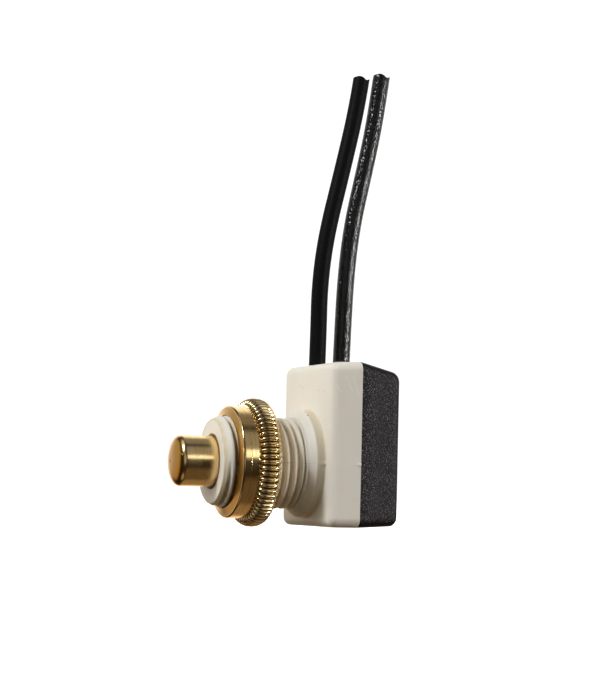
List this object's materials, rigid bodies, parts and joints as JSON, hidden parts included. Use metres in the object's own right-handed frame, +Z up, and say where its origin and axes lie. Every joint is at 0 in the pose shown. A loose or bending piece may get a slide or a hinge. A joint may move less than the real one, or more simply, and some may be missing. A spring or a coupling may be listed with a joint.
{
  "type": "panel pushbutton switch",
  "caption": "Push-on, push-off panel switch with a threaded bushing, a knurled ring nut, a round metal button and flexible wire leads.",
  "frame": {"origin": "on the bushing's axis, where its thread ends at the relief, just ahead of the plain seat and the shoulder that a panel stops at", "axes": "-Y along the bushing towards the button, +Z up towards the leads, +X across the body"},
  "size_m": [0.017, 0.0263, 0.0572],
  "materials": {
    "ivory_plastic": "satin moulded",
    "black_plastic": "matt with fine pale specks",
    "brass": "satin turned",
    "white_plastic": "natural",
    "spring_steel": "drawn wire",
    "brass_strip": "stamped",
    "silver": "satin",
    "lead_insulation": "extruded, slightly grainy",
    "copper": "bare"
  },
  "bodies": {
    "body": {"housing": "ivory_plastic", "rear_cover": "black_plastic", "index_spring": "spring_steel", "return_spring": "spring_steel", "contact_tip_left": "silver", "contact_tip_right": "silver", "fixed_contact_left": "brass_strip", "fixed_contact_right": "brass_strip", "lead_left": "lead_insulation", "lead_right": "lead_insulation", "conductor_left": "copper", "conductor_right": "copper"},
    "button": {"push_button": "brass", "plunger": "white_plastic"},
    "rotor": {"index_rotor": "white_plastic", "contact_bridge": "brass_strip", "contact_spring": "spring_steel", "bridge_tip_left": "silver", "bridge_tip_right": "silver"},
    "nut": {"ring_nut": "brass"}
  },
  "joints": [
    {"name": "button_press", "type": "slide", "parent": "body", "child": "button", "axis": [0, 1, 0], "range_m": [0, 0.0028], "stiffness_N_per_m": 600, "springref_m": -0.004, "deforming": ["return_spring"]},
    {"name": "rotor_index", "type": "hinge", "parent": "body", "child": "rotor", "pos_m": [0, 0, 0], "axis": [0, 1, 0], "range_deg": [0, 45], "deforming": ["index_spring"]},
    {"name": "nut_travel", "type": "slide", "parent": "body", "child": "nut", "axis": [0, -1, 0], "range_m": [-0.0034, 0.01]}
  ],
  "couplings": [
    {"joint": "rotor_index", "follows": "button_press", "rad_per_m": 280.5}
  ]
}
